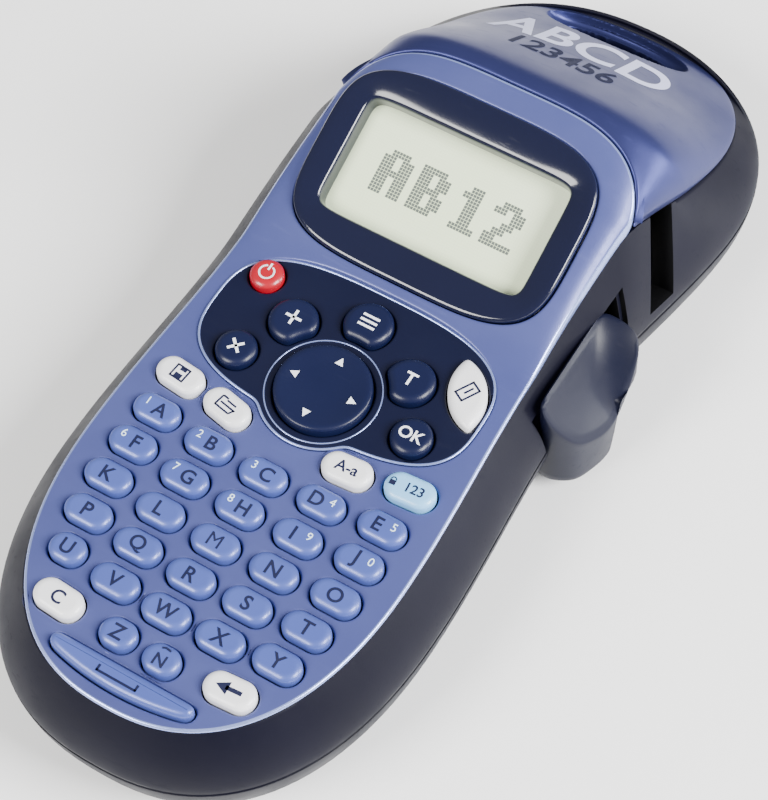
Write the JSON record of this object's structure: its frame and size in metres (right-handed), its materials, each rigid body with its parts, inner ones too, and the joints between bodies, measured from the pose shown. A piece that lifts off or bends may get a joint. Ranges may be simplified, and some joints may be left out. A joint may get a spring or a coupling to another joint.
{
  "type": "label maker",
  "caption": "Handheld label maker with an alphabet keypad, sloping display, lift-off cassette cover and a side cutter lever",
  "frame": {"origin": "a point on the flat back, in the plane that the label maker lies on, between the handle and the head", "axes": "+Z out of the keypad, +Y along the body towards the cassette end, +X towards the side where the labels come out"},
  "size_m": [0.094, 0.208, 0.052],
  "materials": {
    "dark_shell": "fine satin moulding, near-black navy",
    "face_blue": "pearlescent periwinkle blue, satin",
    "cover_blue": "pearlescent darker blue, satin",
    "key_blue": "pearlescent periwinkle blue with printed legends",
    "key_white": "white, satin, printed legends",
    "key_navy": "navy, gloss, white legends",
    "key_red": "red, gloss",
    "key_pale_blue": "pale sky blue, satin",
    "panel_navy": "navy, semi-gloss with bright rim",
    "bezel_gloss": "navy, high gloss",
    "lcd": "pale green reflective liquid crystal",
    "circuit_board": "green solder mask",
    "keypad_rubber": "grey silicone",
    "lever_navy": "navy, satin",
    "steel": "bright",
    "ceramic": "ceramic on aluminium",
    "platen_rubber": "ground black rubber",
    "motor_can": "drawn steel can",
    "cassette_plastic": "light grey",
    "cell_wrap": "printed sleeve"
  },
  "bodies": {
    "body": {"rear_shell": "dark_shell", "front_shell": "dark_shell", "face_plate": "face_blue", "control_panel": "panel_navy", "display_bezel": "bezel_gloss", "lcd_panel": "lcd", "circuit_board": "circuit_board", "keypad_mat": "keypad_rubber", "print_head": "ceramic", "drive_motor": "motor_can", "label_cassette": "cassette_plastic", "batteries": "cell_wrap", "screws": "steel"},
    "cassette_cover": {"cassette_cover": "cover_blue"},
    "cutter_lever": {"cutter_lever": "lever_navy"},
    "cutter_blade": {"cutter_blade": "steel"},
    "platen_roller": {"platen_roller": "platen_rubber"},
    "battery_door": {"battery_door": "dark_shell"},
    "key_a": {"key_a": "key_blue"},
    "key_b": {"key_b": "key_blue"},
    "key_c": {"key_c": "key_blue"},
    "key_d": {"key_d": "key_blue"},
    "key_e": {"key_e": "key_blue"},
    "key_f": {"key_f": "key_blue"},
    "key_g": {"key_g": "key_blue"},
    "key_h": {"key_h": "key_blue"},
    "key_i": {"key_i": "key_blue"},
    "key_j": {"key_j": "key_blue"},
    "key_k": {"key_k": "key_blue"},
    "key_l": {"key_l": "key_blue"},
    "key_m": {"key_m": "key_blue"},
    "key_n": {"key_n": "key_blue"},
    "key_o": {"key_o": "key_blue"},
    "key_p": {"key_p": "key_blue"},
    "key_q": {"key_q": "key_blue"},
    "key_r": {"key_r": "key_blue"},
    "key_s": {"key_s": "key_blue"},
    "key_t": {"key_t": "key_blue"},
    "key_u": {"key_u": "key_blue"},
    "key_v": {"key_v": "key_blue"},
    "key_w": {"key_w": "key_blue"},
    "key_x": {"key_x": "key_blue"},
    "key_y": {"key_y": "key_blue"},
    "key_z": {"key_z": "key_blue"},
    "key_enye": {"key_enye": "key_blue"},
    "key_space": {"key_space": "key_blue"},
    "key_clear": {"key_clear": "key_white"},
    "key_backspace": {"key_backspace": "key_white"},
    "key_save": {"key_save": "key_white"},
    "key_open": {"key_open": "key_white"},
    "key_caps": {"key_caps": "key_white"},
    "key_numbers": {"key_numbers": "key_pale_blue"},
    "key_power": {"key_power": "key_red"},
    "key_cancel": {"key_cancel": "key_navy"},
    "key_insert": {"key_insert": "key_navy"},
    "key_settings": {"key_settings": "key_navy"},
    "key_format": {"key_format": "key_navy"},
    "key_ok": {"key_ok": "key_navy"},
    "key_print": {"key_print": "key_white"},
    "key_navigation": {"key_navigation": "key_navy"}
  },
  "joints": [
    {"name": "cover_lift", "type": "slide", "parent": "body", "child": "cassette_cover", "axis": [0, 0.3552, 0.9348], "range_m": [0, 0.025]},
    {"name": "cutter_press", "type": "hinge", "parent": "body", "child": "cutter_lever", "pos_m": [0.036, -0.002, 0.015], "axis": [0, 0, 1], "range_deg": [0, 8], "stiffness_Nm_per_rad": 0.4},
    {"name": "blade_cut", "type": "slide", "parent": "body", "child": "cutter_blade", "axis": [0, 1, 0], "range_m": [0, 0.004]},
    {"name": "platen_turn", "type": "hinge", "parent": "body", "child": "platen_roller", "pos_m": [0.0305, 0.0509, 0.026], "axis": [0, 0, 1], "continuous": true},
    {"name": "battery_door_slide", "type": "slide", "parent": "body", "child": "battery_door", "axis": [0, -1, 0], "range_m": [0, 0.03]},
    {"name": "press_a", "type": "slide", "parent": "body", "child": "key_a", "axis": [0, 0, -1], "range_m": [0, 0.0012], "stiffness_N_per_m": 200},
    {"name": "press_b", "type": "slide", "parent": "body", "child": "key_b", "axis": [0, 0, -1], "range_m": [0, 0.0012], "stiffness_N_per_m": 200},
    {"name": "press_c", "type": "slide", "parent": "body", "child": "key_c", "axis": [0, 0, -1], "range_m": [0, 0.0012], "stiffness_N_per_m": 200},
    {"name": "press_d", "type": "slide", "parent": "body", "child": "key_d", "axis": [0, 0, -1], "range_m": [0, 0.0012], "stiffness_N_per_m": 200},
    {"name": "press_e", "type": "slide", "parent": "body", "child": "key_e", "axis": [0, 0, -1], "range_m": [0, 0.0012], "stiffness_N_per_m": 200},
    {"name": "press_f", "type": "slide", "parent": "body", "child": "key_f", "axis": [0, 0, -1], "range_m": [0, 0.0012], "stiffness_N_per_m": 200},
    {"name": "press_g", "type": "slide", "parent": "body", "child": "key_g", "axis": [0, 0, -1], "range_m": [0, 0.0012], "stiffness_N_per_m": 200},
    {"name": "press_h", "type": "slide", "parent": "body", "child": "key_h", "axis": [0, 0, -1], "range_m": [0, 0.0012], "stiffness_N_per_m": 200},
    {"name": "press_i", "type": "slide", "parent": "body", "child": "key_i", "axis": [0, 0, -1], "range_m": [0, 0.0012], "stiffness_N_per_m": 200},
    {"name": "press_j", "type": "slide", "parent": "body", "child": "key_j", "axis": [0, 0, -1], "range_m": [0, 0.0012], "stiffness_N_per_m": 200},
    {"name": "press_k", "type": "slide", "parent": "body", "child": "key_k", "axis": [0, 0, -1], "range_m": [0, 0.0012], "stiffness_N_per_m": 200},
    {"name": "press_l", "type": "slide", "parent": "body", "child": "key_l", "axis": [0, 0, -1], "range_m": [0, 0.0012], "stiffness_N_per_m": 200},
    {"name": "press_m", "type": "slide", "parent": "body", "child": "key_m", "axis": [0, 0, -1], "range_m": [0, 0.0012], "stiffness_N_per_m": 200},
    {"name": "press_n", "type": "slide", "parent": "body", "child": "key_n", "axis": [0, 0, -1], "range_m": [0, 0.0012], "stiffness_N_per_m": 200},
    {"name": "press_o", "type": "slide", "parent": "body", "child": "key_o", "axis": [0, 0, -1], "range_m": [0, 0.0012], "stiffness_N_per_m": 200},
    {"name": "press_p", "type": "slide", "parent": "body", "child": "key_p", "axis": [0, 0, -1], "range_m": [0, 0.0012], "stiffness_N_per_m": 200},
    {"name": "press_q", "type": "slide", "parent": "body", "child": "key_q", "axis": [0, 0, -1], "range_m": [0, 0.0012], "stiffness_N_per_m": 200},
    {"name": "press_r", "type": "slide", "parent": "body", "child": "key_r", "axis": [0, 0, -1], "range_m": [0, 0.0012], "stiffness_N_per_m": 200},
    {"name": "press_s", "type": "slide", "parent": "body", "child": "key_s", "axis": [0, 0, -1], "range_m": [0, 0.0012], "stiffness_N_per_m": 200},
    {"name": "press_t", "type": "slide", "parent": "body", "child": "key_t", "axis": [0, 0, -1], "range_m": [0, 0.0012], "stiffness_N_per_m": 200},
    {"name": "press_u", "type": "slide", "parent": "body", "child": "key_u", "axis": [0, 0, -1], "range_m": [0, 0.0012], "stiffness_N_per_m": 200},
    {"name": "press_v", "type": "slide", "parent": "body", "child": "key_v", "axis": [0, 0, -1], "range_m": [0, 0.0012], "stiffness_N_per_m": 200},
    {"name": "press_w", "type": "slide", "parent": "body", "child": "key_w", "axis": [0, 0, -1], "range_m": [0, 0.0012], "stiffness_N_per_m": 200},
    {"name": "press_x", "type": "slide", "parent": "body", "child": "key_x", "axis": [0, 0, -1], "range_m": [0, 0.0012], "stiffness_N_per_m": 200},
    {"name": "press_y", "type": "slide", "parent": "body", "child": "key_y", "axis": [0, 0, -1], "range_m": [0, 0.0012], "stiffness_N_per_m": 200},
    {"name": "press_z", "type": "slide", "parent": "body", "child": "key_z", "axis": [0, 0, -1], "range_m": [0, 0.0012], "stiffness_N_per_m": 200},
    {"name": "press_enye", "type": "slide", "parent": "body", "child": "key_enye", "axis": [0, 0, -1], "range_m": [0, 0.0012], "stiffness_N_per_m": 200},
    {"name": "press_space", "type": "slide", "parent": "body", "child": "key_space", "axis": [0, 0, -1], "range_m": [0, 0.0012], "stiffness_N_per_m": 200},
    {"name": "press_clear", "type": "slide", "parent": "body", "child": "key_clear", "axis": [0, 0, -1], "range_m": [0, 0.0012], "stiffness_N_per_m": 200},
    {"name": "press_backspace", "type": "slide", "parent": "body", "child": "key_backspace", "axis": [0, 0, -1], "range_m": [0, 0.0012], "stiffness_N_per_m": 200},
    {"name": "press_save", "type": "slide", "parent": "body", "child": "key_save", "axis": [0, 0, -1], "range_m": [0, 0.0012], "stiffness_N_per_m": 200},
    {"name": "press_open", "type": "slide", "parent": "body", "child": "key_open", "axis": [0, 0, -1], "range_m": [0, 0.0012], "stiffness_N_per_m": 200},
    {"name": "press_caps", "type": "slide", "parent": "body", "child": "key_caps", "axis": [0, 0, -1], "range_m": [0, 0.0012], "stiffness_N_per_m": 200},
    {"name": "press_numbers", "type": "slide", "parent": "body", "child": "key_numbers", "axis": [0, 0, -1], "range_m": [0, 0.0012], "stiffness_N_per_m": 200},
    {"name": "press_power", "type": "slide", "parent": "body", "child": "key_power", "axis": [0, 0, -1], "range_m": [0, 0.0012], "stiffness_N_per_m": 200},
    {"name": "press_cancel", "type": "slide", "parent": "body", "child": "key_cancel", "axis": [0, 0, -1], "range_m": [0, 0.0012], "stiffness_N_per_m": 200},
    {"name": "press_insert", "type": "slide", "parent": "body", "child": "key_insert", "axis": [0, 0, -1], "range_m": [0, 0.0012], "stiffness_N_per_m": 200},
    {"name": "press_settings", "type": "slide", "parent": "body", "child": "key_settings", "axis": [0, 0, -1], "range_m": [0, 0.0012], "stiffness_N_per_m": 200},
    {"name": "press_format", "type": "slide", "parent": "body", "child": "key_format", "axis": [0, 0, -1], "range_m": [0, 0.0012], "stiffness_N_per_m": 200},
    {"name": "press_ok", "type": "slide", "parent": "body", "child": "key_ok", "axis": [0, 0, -1], "range_m": [0, 0.0012], "stiffness_N_per_m": 200},
    {"name": "press_print", "type": "slide", "parent": "body", "child": "key_print", "axis": [0, 0, -1], "range_m": [0, 0.0012], "stiffness_N_per_m": 200},
    {"name": "press_navigation", "type": "slide", "parent": "body", "child": "key_navigation", "axis": [0, 0, -1], "range_m": [0, 0.0012], "stiffness_N_per_m": 200}
  ],
  "couplings": [
    {"joint": "blade_cut", "follows": "cutter_press", "m_per_rad": 0.0255}
  ]
}
